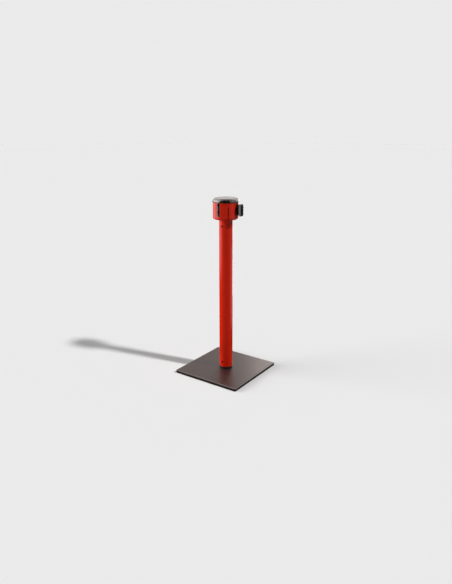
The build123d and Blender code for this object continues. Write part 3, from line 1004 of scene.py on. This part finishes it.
@dataclass
class HeadCasing:
    """Round red shell with four openings and four grooves."""

    wall: float = 3 * MM
    floor: float = 4 * MM
    edge_radius: float = 11 * MM
    groove_width: float = 4.2 * MM
    groove_depth: float = 1.8 * MM
    groove_gap: float = 24 * MM
    # Where a groove's cutter starts, as a share of the casing's radius
    groove_start: float = 0.8
    shadow_top: float = 71 * MM
    shadow_aside: float = 0.05 * MM
    # Between these depths, as shares of the groove's, its paint is darkened as painted shade
    shadow_start: float = 0.5
    shadow_end: float = 1.15
    slot_width: float = 18.2 * MM
    # How deep an opening's cutter reaches, in walls
    slot_start: float = 2.5
    sill_gap: float = 0.1 * MM
    rim: float = 0.35 * MM

    def form(self, inset: float, low: float, high: float, radius: float) -> bmesh.types.BMesh:
        """Make a closed round form with a rounded lower edge.

        Args:
            inset: How far the form lies inside the casing's skin.
            low: Level of the skin's lower end.
            high: Level of the form's upper end.
            radius: The skin's radius.

        Returns:
            The form.
        """
        foot = low + inset
        wide = radius - inset
        bm = lathe([(0, foot), (wide, foot), (wide, high), (0, high)], False)
        ring = [e for e in bm.edges if is_level(e, foot)
                and all(abs(from_axis(v.co) - wide) < ON_RING for v in e.verts)]
        soften(bm, self.edge_radius - inset, 10, 60, ring)
        return bm

    def build(self) -> None:
        """Build the shell."""
        low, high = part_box("head_casing")
        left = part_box("receiver_left")[0]
        radius = -left.x
        above = high.z + 5 * SPARE
        inside = self.form(self.wall, low.z + self.floor - self.wall, above, radius)
        half = self.groove_width / 2
        groove = brick((radius * self.groove_start, -half, low.z - SPARE),
                       (radius + SPARE, half, high.z - self.groove_gap))
        groove = cut(groove, self.form(self.groove_depth, low.z, above, radius))
        opening = brick((radius - self.slot_start * self.wall, -self.slot_width / 2, left.z - self.sill_gap),
                        (radius + 2 * SPARE, self.slot_width / 2, above))
        tools = [inside]
        for quarter in range(4):
            tools.append(turned_by(opening, 90 * quarter))
            tools.append(turned_by(groove, 90 * quarter + 45))
        opening.free()
        groove.free()
        bm = cut(self.form(0, low.z, high.z, radius), *tools)
        soften(bm, self.rim, 2, 50)
        # The grooves' deep faces are darkened as painted shade
        mark(bm, PAINTED_SHADE, lambda face: self.in_groove_painted_shade(face.calc_center_median(), low.z, radius))
        publish(bm, "red_casing", Body.POST, "red_shell", ["head_casing"])
        dress("casing_screws")

    def in_groove_painted_shade(self, place: Vector, low: float, radius: float) -> bool:
        """Whether a place lies deep inside a groove, where the paint is darkened as painted shade.

        Args:
            place: The place.
            low: Level of the casing's lower end.
            radius: The casing's outer radius.

        Returns:
            Whether it lies there.
        """
        drop = max(0.0, low + self.edge_radius - place.z)
        skin = radius - self.edge_radius + math.sqrt(max(0.0, self.edge_radius ** 2 - drop ** 2))
        depth = (skin - from_axis(place)) / self.groove_depth
        narrow = off_diagonal(place) < self.groove_width / 2 + self.shadow_aside
        deep = self.shadow_start < depth < self.shadow_end
        return narrow and deep and place.z < low + self.shadow_top


@dataclass
class Inserts:
    """Black mouldings in the casing's openings: three receivers and the belt's exit."""

    edge: float = 0.4 * MM

    def build(self) -> None:
        """Build the four inserts with softened edges and dress the guide pin."""
        for side in Side:
            node = f"receiver_{side.name.lower()}"
            bm = copied(node)
            soften(bm, self.edge, 2, 50)
            publish(bm, f"{side.name.lower()}_receiver", Body.POST, "insert_plastic", [node])
        bm = copied("exit_guide")
        soften(bm, self.edge, 2, 50)
        publish(bm, "belt_exit", Body.POST, "insert_plastic", ["exit_guide"])
        dress("guide_pin")


@dataclass
class Cap:
    """Turned metal cap with a rounded edge, a bead at its foot, four notches and a screw in its middle."""

    bead_width: float = 3 * MM
    bead_height: float = 2.6 * MM
    bead_round: float = 0.8 * MM
    edge_round: float = 18 * MM
    rim_thickness: float = 10 * MM
    wall: float = 4 * MM
    hollow_round: float = 8 * MM
    boss_radius: float = 11 * MM
    lip_inset: float = 3.1 * MM
    lip_thickness: float = 2.6 * MM
    lip_root: float = 0.5 * MM
    lip_gap: float = 14.1 * MM
    notch_width: float = 5.2 * MM
    notch_depth: float = 9 * MM
    notch_height: float = 16 * MM
    notch_edge: float = 0.35 * MM
    dimple_radius: float = 6.4 * MM
    dimple_depth: float = 0.8 * MM
    shank_radius: float = 3.05 * MM
    shank_depth: float = 9 * MM

    def body(self, high: Vector, seat: float) -> bmesh.types.BMesh:
        """Turn the cap's body.

        Args:
            high: The cap's highest corner.
            seat: Level of the casing's upper end.

        Returns:
            The body, without lip, notches or screw hole.
        """
        outer = high.x - self.bead_width
        hollow = outer - self.rim_thickness
        under = high.z - self.wall
        bead_top = seat + self.bead_height
        boss_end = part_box("spindle")[1].z
        outline = [
            (self.shank_radius, high.z), (outer, high.z), (outer, bead_top), (high.x, bead_top),
            (high.x, seat), (hollow, seat), (hollow, under), (self.boss_radius, under),
            (self.boss_radius, boss_end), (self.shank_radius, boss_end),
        ]
        bm = lathe(outline, steps=192)
        rounds = (
            (self.edge_round, 18, ((outer, high.z),)),
            (self.bead_round, 4, ((high.x, bead_top), (high.x, seat))),
            (self.hollow_round, 8, ((hollow, under),)),
        )
        for width, segments, rings in rounds:
            soften(bm, width, segments, 20, [e for e in bm.edges if self.on_ring(e, rings)])
        return bm

    def on_ring(self, edge: bmesh.types.BMEdge, rings: Iterable[tuple[float, float]]) -> bool:
        """Whether an edge lies on one of some rings, each given as radius and level."""
        places = [(from_axis(v.co), v.co.z) for v in edge.verts]
        return any(all(math.dist(place, ring) < ON_RING for place in places) for ring in rings)

    def lip(self, low: Vector, seat: float) -> bmesh.types.BMesh:
        """Make the four short walls under the rim that centre the cap.

        Args:
            low: The cap's lowest corner.
            seat: Level of the casing's upper end.

        Returns:
            The walls.
        """
        outer = -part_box("receiver_left")[0].x - self.lip_inset
        inner = outer - self.lip_thickness
        top = seat + self.lip_root
        wall = lathe([(inner, low.z), (outer, low.z), (outer, top), (inner, top)])
        gap = self.lip_gap
        reach = outer + SPARE
        return cut(wall, brick((-reach, -gap, low.z - SPARE), (reach, gap, top + SPARE)),
                   brick((-gap, -reach, low.z - SPARE), (gap, reach, top + SPARE)))

    def screw_hole(self, high: Vector) -> bmesh.types.BMesh:
        """Make the cutter for the sunk hole in the middle.

        Args:
            high: The cap's highest corner.

        Returns:
            The cutter.
        """
        above = high.z + SPARE
        dimple = high.z - self.dimple_depth
        cone_end = dimple - self.dimple_radius + self.shank_radius
        return lathe([(0, above), (self.dimple_radius, above), (self.dimple_radius, dimple),
                      (self.shank_radius, cone_end), (0, high.z - self.shank_depth)], False, 64)

    def build(self) -> None:
        """Build the cap and dress its screw."""
        low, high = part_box("top_cap")
        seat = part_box("head_casing")[1].z
        notch_in = high.x - self.notch_depth
        notch = brick((notch_in, -self.notch_width / 2, seat - SPARE),
                      (high.x + SPARE, self.notch_width / 2, seat + self.notch_height))
        notches = [turned_by(notch, 45 + 90 * quarter) for quarter in range(4)]
        notch.free()
        steps = [(Join.ADD, self.lip(low, seat)), (Join.CUT, self.screw_hole(high))]
        steps += [(Join.CUT, tool) for tool in notches]
        bm = worked(self.body(high, seat), steps)
        # The notches and the bead at the foot are darkened as painted shade
        mark(bm, PAINTED_SHADE, lambda face: self.in_painted_shade(face.calc_center_median(), high, seat))
        soften(bm, self.notch_edge, 2, 50, [e for e in bm.edges if self.on_notch(e, notch_in, seat)])
        bmesh.ops.dissolve_degenerate(bm, dist=WELD, edges=bm.edges)
        publish(bm, "metal_cap", Body.POST, "cap_metal", ["top_cap"])
        dress("cap_screw")

    def in_painted_shade(self, place: Vector, high: Vector, seat: float) -> bool:
        """Whether a place lies in a notch or on the bead at the foot, which are darkened as painted shade.

        Args:
            place: The place.
            high: The cap's highest corner.
            seat: Level of the casing's upper end.

        Returns:
            Whether it is darkened as painted shade.
        """
        inward = high.x - from_axis(place)
        above = place.z - seat
        bead = inward < self.bead_width + NEAR and above < self.bead_height + NEAR
        notch = inward < self.notch_depth + NEAR and above < self.notch_height
        return bead or (notch and off_diagonal(place) < self.notch_width / 2 + NEAR)

    def on_notch(self, edge: bmesh.types.BMEdge, notch_in: float, seat: float) -> bool:
        """Whether an edge borders one of the four notches on the outside.

        Args:
            edge: The edge.
            notch_in: Radius at which the notches end.
            seat: Level of the casing's upper end.

        Returns:
            Whether it borders one.
        """
        for vert in edge.verts:
            if abs(off_diagonal(vert.co) - self.notch_width / 2) > NEAR:
                return False
            if from_axis(vert.co) < notch_in + SPARE or vert.co.z < seat + SPARE:
                return False
        return True


@dataclass
class Cassette:
    """Reel, spring and base inside the casing, with the wound belt."""

    hub: float = 32.05 * MM
    turns: int = 15
    ridge: float = 0.35 * MM
    lead_edge: float = 0.2 * MM
    tongue_end: float = 6.6 * MM

    def roll(self) -> None:
        """Build the wound belt with a ridge for each turn."""
        low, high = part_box("belt_roll")
        pitch = (high.x - self.hub) / self.turns
        top = [(self.hub, high.z - self.ridge)]
        for turn in range(self.turns):
            top.append((self.hub + (turn + 0.5) * pitch, high.z))
            top.append((self.hub + (turn + 1) * pitch, high.z - self.ridge))
        bottom = [(r, low.z + high.z - z) for r, z in reversed(top)]
        publish(lathe(top + bottom, steps=96), "wound_belt", Body.REEL, "belt_fabric", ["belt_roll"])

    def lead(self) -> None:
        """Build the slanting stretch of belt from the roll over the guide pin."""
        bm = copied("belt_lead")
        soften(bm, self.lead_edge, 2, 50)
        publish(bm, "slanting_belt", Body.POST, "belt_fabric", ["belt_lead"])

    def spring(self) -> None:
        """Build the mainspring: its coil turns with the reel, its tongue stays in the spindle's slot."""
        low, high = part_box("mainspring")
        core = rod(self.tongue_end, (0, 0, low.z - SPARE), (0, 0, high.z + SPARE), 48)
        tongue = worked(copied("mainspring"), [(Join.KEEP, core.copy())])
        coil = cut(copied("mainspring"), core)
        publish(coil, "spring_coil", Body.REEL, "spring_steel", ["mainspring"])
        publish(tongue, "spring_tongue", Body.POST, "spring_steel")

    def build(self) -> None:
        """Build the belt and the spring inside and dress the rest."""
        self.roll()
        self.lead()
        self.spring()
        for node in ("cassette_base", "cassette_screws", "spindle", "retaining_ring", "thrust_washer",
                     "lower_bush", "upper_bush", "reel", "reel_flange", "flange_screws"):
            dress(node)


@dataclass
class BeltEnd:
    """Straight run of the belt and the clip on its end."""

    thickness: float = 0.8 * MM
    fold_start: float = 60.4 * MM
    still_end: float = 0.4 * MM
    # Rounding of the belt's edges, as a share of half its thickness
    edge_share: float = 0.3
    pin_play: float = 0.05 * MM
    stitch_pitch: float = 3.0 * MM
    stitch_gap: float = 0.8 * MM
    stitch_radius: float = 0.22 * MM
    seam_inset: float = 1.6 * MM
    seam_from_tail: float = 3 * MM
    grip_round: float = 1.6 * MM
    grip_edge: float = 0.9 * MM
    grip_depth: float = 15.5 * MM
    tail_thickness: float = 4.6 * MM
    tail_end: float = 3 * MM
    small_edge: float = 0.5 * MM
    neck_width: float = 6 * MM
    neck_length: float = 3 * MM
    lug_width: float = 12 * MM
    lug_height: float = 8 * MM
    lug_inset: float = 10.25 * MM
    lug_thickness: float = 2.4 * MM
    chamber_play: float = 0.3 * MM
    chamber_top: float = 0.2 * MM
    slot_play: float = 0.1 * MM
    seat_play: float = 0.1 * MM
    seat_depth: float = 1.8 * MM
    tail_spaces: int = 9
    flute_radius: float = 0.35 * MM
    flute_proud: float = 0.12 * MM

    def strip(self) -> None:
        """Build the belt's run with its sewn fold."""
        low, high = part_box("belt_run")
        pin_low, pin_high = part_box("clip_pin")
        pin_x = (pin_low.x + pin_high.x) / 2
        inner = (pin_high.x - pin_low.x) / 2 + self.pin_play
        outer = inner + self.thickness
        half = self.thickness / 2
        run = brick((low.x, -half, low.z), (self.fold_start + SPARE, half, high.z))
        fold = brick((self.fold_start, -2 * half, low.z), (pin_x - inner - half, 2 * half, high.z))
        for bm in (run, fold):
            soften(bm, self.edge_share * half, 2, 60, [e for e in bm.edges if not is_upright(e)])
        loop = lathe([(inner, low.z), (outer, low.z), (outer, high.z), (inner, high.z)], steps=48)
        bmesh.ops.translate(loop, vec=(pin_x, 0, 0), verts=loop.verts)
        piece = publish(joined(run, fold, loop), "belt", Body.BELT_END, "belt_fabric", ["belt_run"])
        piece.parent = None
        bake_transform(piece)

    def stitches(self) -> None:
        """Build the two rows of stitches across the fold, on both faces."""
        low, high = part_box("belt_run")
        tail_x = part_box("clip_body")[0].x
        count = int((high.z - low.z) / self.stitch_pitch) - 1
        start = (low.z + high.z) / 2 - count * self.stitch_pitch / 2
        row = bmesh.new()
        for x in (self.fold_start + self.seam_inset, tail_x - self.seam_from_tail):
            for y in (-self.thickness, self.thickness):
                for number in range(count):
                    below = start + number * self.stitch_pitch + self.stitch_gap / 2
                    above = below + self.stitch_pitch - self.stitch_gap
                    self.sew(row, rod(self.stitch_radius, (x, y, below), (x, y, above), 8))
        publish(row, "belt_stitches", Body.BELT_END, "thread")

    def sew(self, row: bmesh.types.BMesh, stitch: bmesh.types.BMesh) -> None:
        """Add one stitch to a row.

        Args:
            row: The row's mesh.
            stitch: The stitch's mesh, which is freed.
        """
        mesh = bpy.data.meshes.new("stitch")
        stitch.to_mesh(mesh)
        stitch.free()
        row.from_mesh(mesh)
        bpy.data.meshes.remove(mesh)

    def clip(self) -> None:
        """Build the clip: tail, grip, neck and lugs."""
        low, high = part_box("clip_body")
        run_low, run_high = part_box("belt_run")
        grip_x1 = high.x - self.lug_thickness - self.neck_length
        grip_x0 = grip_x1 - self.grip_depth
        grip = brick((grip_x0, low.y, low.z), (grip_x1, high.y, high.z))
        soften(grip, self.grip_round, 5, chosen=[e for e in grip.edges if is_upright(e)])
        soften(grip, self.grip_edge, 4, 60)
        tail_half = self.tail_thickness / 2
        tail = brick((low.x, -tail_half, run_low.z - self.tail_end),
                     (grip_x0 + SPARE, tail_half, run_high.z + self.tail_end))
        soften(tail, self.small_edge, 3, 60)
        neck_z0 = low.z + self.lug_inset
        neck_z1 = high.z - self.lug_inset
        neck = brick((grip_x1 - SPARE, -self.neck_width / 2, neck_z0), (high.x, self.neck_width / 2, neck_z1))
        lugs = []
        for base in (neck_z0, neck_z1 - self.lug_height):
            lug = brick((high.x - self.lug_thickness, -self.lug_width / 2, base),
                        (high.x, self.lug_width / 2, base + self.lug_height))
            soften(lug, self.small_edge, 3, 60)
            lugs.append(lug)
        steps = [(Join.ADD, tool) for tool in (tail, neck, *lugs)]
        steps += [(Join.CUT, tool) for tool in (*self.hollows(low), *self.flutes(low.x, grip_x0))]
        publish(worked(grip, steps), "clip", Body.BELT_END, "clip_plastic", ["clip_body"])

    def hollows(self, low: Vector) -> list[bmesh.types.BMesh]:
        """Make the cutters for the pin's chamber, the belt's slot and the screw's seat.

        Args:
            low: The clip's lowest corner.

        Returns:
            The cutters.
        """
        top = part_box("belt_run")[1].z
        below = low.z - SPARE
        pin_low, pin_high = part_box("clip_pin")
        pin_x = (pin_low.x + pin_high.x) / 2
        chamber_r = (pin_high.x - pin_low.x) / 2 + self.thickness + self.chamber_play
        chamber = rod(chamber_r, (pin_x, 0, below), (pin_x, 0, top + self.chamber_top), 40)
        slot_half = self.thickness + self.slot_play
        slot = brick((low.x - SPARE, -slot_half, below), (pin_x, slot_half, top + self.slot_play))
        screw_low, screw_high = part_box("clip_screw")
        level = (screw_low.z + screw_high.z) / 2
        seat_r = (screw_high.z - screw_low.z) / 2 + self.seat_play
        seat = rod(seat_r, (pin_x, low.y - SPARE, level), (pin_x, low.y + self.seat_depth, level), 32)
        return [chamber, slot, seat]

    def flutes(self, start: float, end: float) -> list[bmesh.types.BMesh]:
        """Make the cutters for the fine flutes on both faces of the tail.

        Args:
            start: Where the tail starts along X.
            end: Where it ends.

        Returns:
            The cutters.
        """
        low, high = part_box("belt_run")
        aside = self.tail_thickness / 2 + self.flute_proud
        tools = []
        for number in range(1, self.tail_spaces):
            x = start + (end - start) * number / self.tail_spaces
            for y in (-aside, aside):
                tools.append(rod(self.flute_radius, (x, y, low.z), (x, y, high.z), 10))
        return tools

    def build(self) -> None:
        """Build the belt's run and the clip."""
        self.strip()
        self.stitches()
        self.clip()
        for node in ("clip_pin", "clip_screw"):
            dress(node)


# Studio


def seen_rays(tree: bpy.types.NodeTree) -> bpy.types.NodeSocket:
    """Tell rays that show a surface from rays that only light one.

    Args:
        tree: The node tree that asks.

    Returns:
        A socket that is 1 where the camera, gloss or glass looks, and 0 where light only bounces.
    """
    path = tree.nodes.new("ShaderNodeLightPath")
    seen = path.outputs["Is Camera Ray"]
    for ray in ("Is Glossy Ray", "Is Transmission Ray"):
        both = tree.nodes.new("ShaderNodeMath")
        both.operation = "MAXIMUM"
        tree.links.new(seen, both.inputs[0])
        tree.links.new(path.outputs[ray], both.inputs[1])
        seen = both.outputs[0]
    return seen


def hang_board(bm: bmesh.types.BMesh, name: str, glow: float) -> None:
    """Hang a board in the studio that only shows as a reflection.

    Args:
        bm: The board's mesh, which is freed.
        name: The board's name.
        glow: How bright it is; 0 is black.
    """
    obj = scratch_object(bm, name)
    material = bpy.data.materials.new(name)
    material.use_nodes = True
    tree = material.node_tree
    tree.nodes.clear()
    light = tree.nodes.new("ShaderNodeEmission")
    light.inputs["Strength"].default_value = glow
    output = tree.nodes.new("ShaderNodeOutputMaterial")
    tree.links.new(light.outputs[0], output.inputs["Surface"])
    material.cycles.emission_sampling = "NONE"
    obj.data.materials.append(material)
    obj.visible_camera = False
    obj.visible_diffuse = False
    obj.visible_shadow = False


@dataclass
class UprightBoard:
    """A white or black board that stands beside the set, facing its middle."""

    name: str
    bearing: float
    distance: float
    width: float
    height: float
    centre: float
    glow: float

    def build(self) -> None:
        """Put the board up."""
        bm = bmesh.new()
        bmesh.ops.create_grid(bm, x_segments=1, y_segments=1, size=0.5)
        bmesh.ops.scale(bm, vec=(self.width, self.height, 1), verts=bm.verts)
        bmesh.ops.rotate(bm, cent=(0, 0, 0), matrix=Matrix.Rotation(math.radians(90), 3, "X"), verts=bm.verts)
        bmesh.ops.translate(bm, vec=(0, -self.distance, self.centre), verts=bm.verts)
        turn = Matrix.Rotation(math.radians(self.bearing), 3, "Z")
        bmesh.ops.rotate(bm, cent=(0, 0, 0), matrix=turn, verts=bm.verts)
        hang_board(bm, self.name, self.glow)


@dataclass
class LevelBoard:
    """A round white or black board that lies or hangs level."""

    name: str
    radius: float
    level: float
    glow: float

    def build(self) -> None:
        """Put the board up."""
        bm = bmesh.new()
        bmesh.ops.create_circle(bm, cap_ends=True, segments=64, radius=self.radius)
        bmesh.ops.translate(bm, vec=(0, 0, self.level), verts=bm.verts)
        hang_board(bm, self.name, self.glow)


@dataclass
class Studio:
    """Camera, floor, lamps and boards."""

    camera_bearing: float = 35.1
    camera_distance: float = 2.8497
    camera_height: float = 1.3515
    camera_pitch: float = 17.05
    focal_pixels: float = 523.9
    image_height: int = 584
    sensor: float = 36.0
    sight: float = 200.0
    floor_radius: float = 60.0
    floor_tone: float = 0.8
    floor_bounce: float = 0.45
    floor_roughness: float = 0.9
    fill: float = 0.14
    key_strength: float = 2.75
    key_bearing: float = 67.0
    key_height: float = 43.6
    key_softness: float = 4.0
    side_strength: float = 5.6
    side_bearing: float = -88.0
    side_height: float = 8.0
    side_softness: float = 40.0
    wide_lamp_gain: float = 1.162

    def camera(self) -> None:
        """Set the camera where the photograph was taken from."""
        data = bpy.data.cameras.new("camera")
        data.sensor_fit = "VERTICAL"
        data.sensor_height = self.sensor
        data.lens = self.focal_pixels * self.sensor / self.image_height
        data.clip_end = self.sight
        obj = bpy.data.objects.new("camera", data)
        bearing = math.radians(self.camera_bearing)
        obj.location = (self.camera_distance * math.sin(bearing), -self.camera_distance * math.cos(bearing),
                        self.camera_height)
        obj.rotation_euler = (math.radians(90 - self.camera_pitch), 0, bearing)
        bpy.context.scene.collection.objects.link(obj)
        bpy.context.scene.camera = obj

    def floor(self) -> None:
        """Lay the pale floor."""
        bm = bmesh.new()
        bmesh.ops.create_circle(bm, cap_ends=True, segments=96, radius=self.floor_radius)
        obj = scratch_object(bm, "floor")
        r = Recipe("pale_floor")
        seen = seen_rays(r.tree)
        grey = r.add("ShaderNodeCombineColor")
        tone = r.spread(seen, self.floor_bounce, self.floor_tone, 0, 1)
        for channel in grey.inputs:
            r.tree.links.new(tone, channel)
        r.feed("Base Color", grey.outputs["Color"])
        r.set(Roughness=self.floor_roughness, Specular_IOR_Level=0.0)
        obj.data.materials.append(r.material)

    def world(self) -> None:
        """Fill light from all round, with a pale background."""
        world = bpy.data.worlds.new("world")
        bpy.context.scene.world = world
        world.use_nodes = True
        tree = world.node_tree
        tree.nodes.clear()
        seen = seen_rays(tree)
        fill = tree.nodes.new("ShaderNodeBackground")
        fill.inputs["Strength"].default_value = self.fill
        back = tree.nodes.new("ShaderNodeBackground")
        back.inputs["Strength"].default_value = self.floor_tone * (
            self.fill + self.on_floor(self.key_strength, self.key_height)
            + self.wide_lamp_gain * self.on_floor(self.side_strength, self.side_height))
        for node in (fill, back):
            node.inputs["Color"].default_value = (1, 1, 1, 1)
        mix = tree.nodes.new("ShaderNodeMixShader")
        tree.links.new(seen, mix.inputs[0])
        tree.links.new(fill.outputs[0], mix.inputs[1])
        tree.links.new(back.outputs[0], mix.inputs[2])
        output = tree.nodes.new("ShaderNodeOutputWorld")
        tree.links.new(mix.outputs[0], output.inputs["Surface"])

    def on_floor(self, strength: float, height: float) -> float:
        """What a lamp gives a level surface, where 1 is the plain level."""
        return strength * math.sin(math.radians(height)) / math.pi

    def lamp(self, name: str, strength: float, bearing: float, height: float, softness: float) -> None:
        """Hang a far lamp; gloss shows the boards in its place.

        Args:
            name: The lamp's name.
            strength: Its light on a surface that faces it, in watts a square metre.
            bearing: Where it hangs, in degrees from the camera's own bearing.
            height: Its height above the horizon in degrees.
            softness: How wide it looks, in degrees.
        """
        data = bpy.data.lights.new(name, "SUN")
        data.energy = strength
        data.angle = math.radians(softness)
        obj = bpy.data.objects.new(name, data)
        obj.rotation_euler = (math.radians(90 - height), 0, math.radians(self.camera_bearing + bearing))
        obj.visible_glossy = False
        bpy.context.scene.collection.objects.link(obj)

    def lamps(self) -> None:
        """Hang the key light, high on the right, and the wide low one on the left."""
        self.lamp("key", self.key_strength, self.key_bearing, self.key_height, self.key_softness)
        self.lamp("side", self.side_strength, self.side_bearing, self.side_height, self.side_softness)

    def boards(self) -> None:
        """Put up the boards that the gloss reflects."""
        facing = self.camera_bearing
        boards = (
            UprightBoard("soft_board_left", bearing=facing - 103.0, distance=1.5, width=2.4, height=1.5,
                         centre=0.95, glow=1.5),
            UprightBoard("strip_board_right", bearing=facing + 152.0, distance=1.4, width=0.9, height=1.1,
                         centre=0.57, glow=3.0),
            UprightBoard("low_board_right", bearing=facing + 112.0, distance=0.7, width=0.9, height=0.6,
                         centre=0.31, glow=0.9),
            UprightBoard("dark_board_camera", bearing=facing - 12.0, distance=3.6, width=8.6, height=9.0,
                         centre=4.0, glow=0.012),
            UprightBoard("dim_board_right", bearing=facing + 72.0, distance=3.0, width=4.2, height=9.0,
                         centre=4.2, glow=0.25),
            LevelBoard("dark_cloth_below", radius=14.0, level=0.5 * MM, glow=0.0),
            LevelBoard("dark_board_above", radius=0.95, level=2.7, glow=0.2),
        )
        for board in boards:
            board.build()

    def build(self) -> None:
        """Build the studio."""
        self.camera()
        self.floor()
        self.world()
        self.lamps()
        self.boards()
        bpy.context.scene.view_settings.view_transform = "Standard"


def main() -> None:
    """Build the whole scene, sub-assembly by sub-assembly."""
    logging.basicConfig(level=logging.INFO, format="%(name)s: %(message)s")
    for assembly in (Studio(), Base(), Post(), HeadCasing(), Inserts(), Cap(), Cassette(), BeltEnd()):
        log.info("building %s", type(assembly).__name__)
        assembly.build()


if __name__ == "__main__":
    main()
